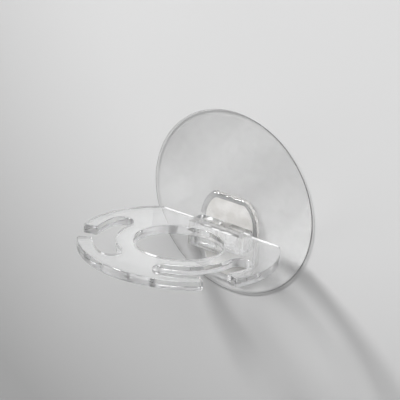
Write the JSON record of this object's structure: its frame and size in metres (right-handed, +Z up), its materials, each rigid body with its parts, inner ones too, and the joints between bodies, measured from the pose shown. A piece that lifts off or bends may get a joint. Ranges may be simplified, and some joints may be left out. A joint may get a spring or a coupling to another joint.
{
  "type": "razor holder",
  "caption": "Clear slotted plate for razors and toothbrushes that hangs on a T rail on a round self-adhesive film disc, for a smooth bathroom wall.",
  "frame": {"origin": "centre of the sticky back of the film disc, on the wall", "axes": "+Y points into the wall, +Z up, +X to the right of someone who faces the wall; the holder stands out towards -Y"},
  "size_m": [0.092, 0.0864, 0.09],
  "materials": {
    "gel": "clear tacky gel",
    "film": "hazy translucent film",
    "pad": "off-white bonding pad, slightly mottled",
    "clear_base": "clear polished plastic",
    "clear_plate": "clear polished plastic"
  },
  "bodies": {
    "base": {"adhesive_gel": "gel", "film_disc": "film", "bonding_pad": "pad", "mount_base": "clear_base"},
    "holder": {"holder_plate": "clear_plate"}
  },
  "joints": [
    {"name": "holder_lift", "type": "slide", "parent": "base", "child": "holder", "axis": [0, 0, 1], "range_m": [0, 0.02]}
  ]
}
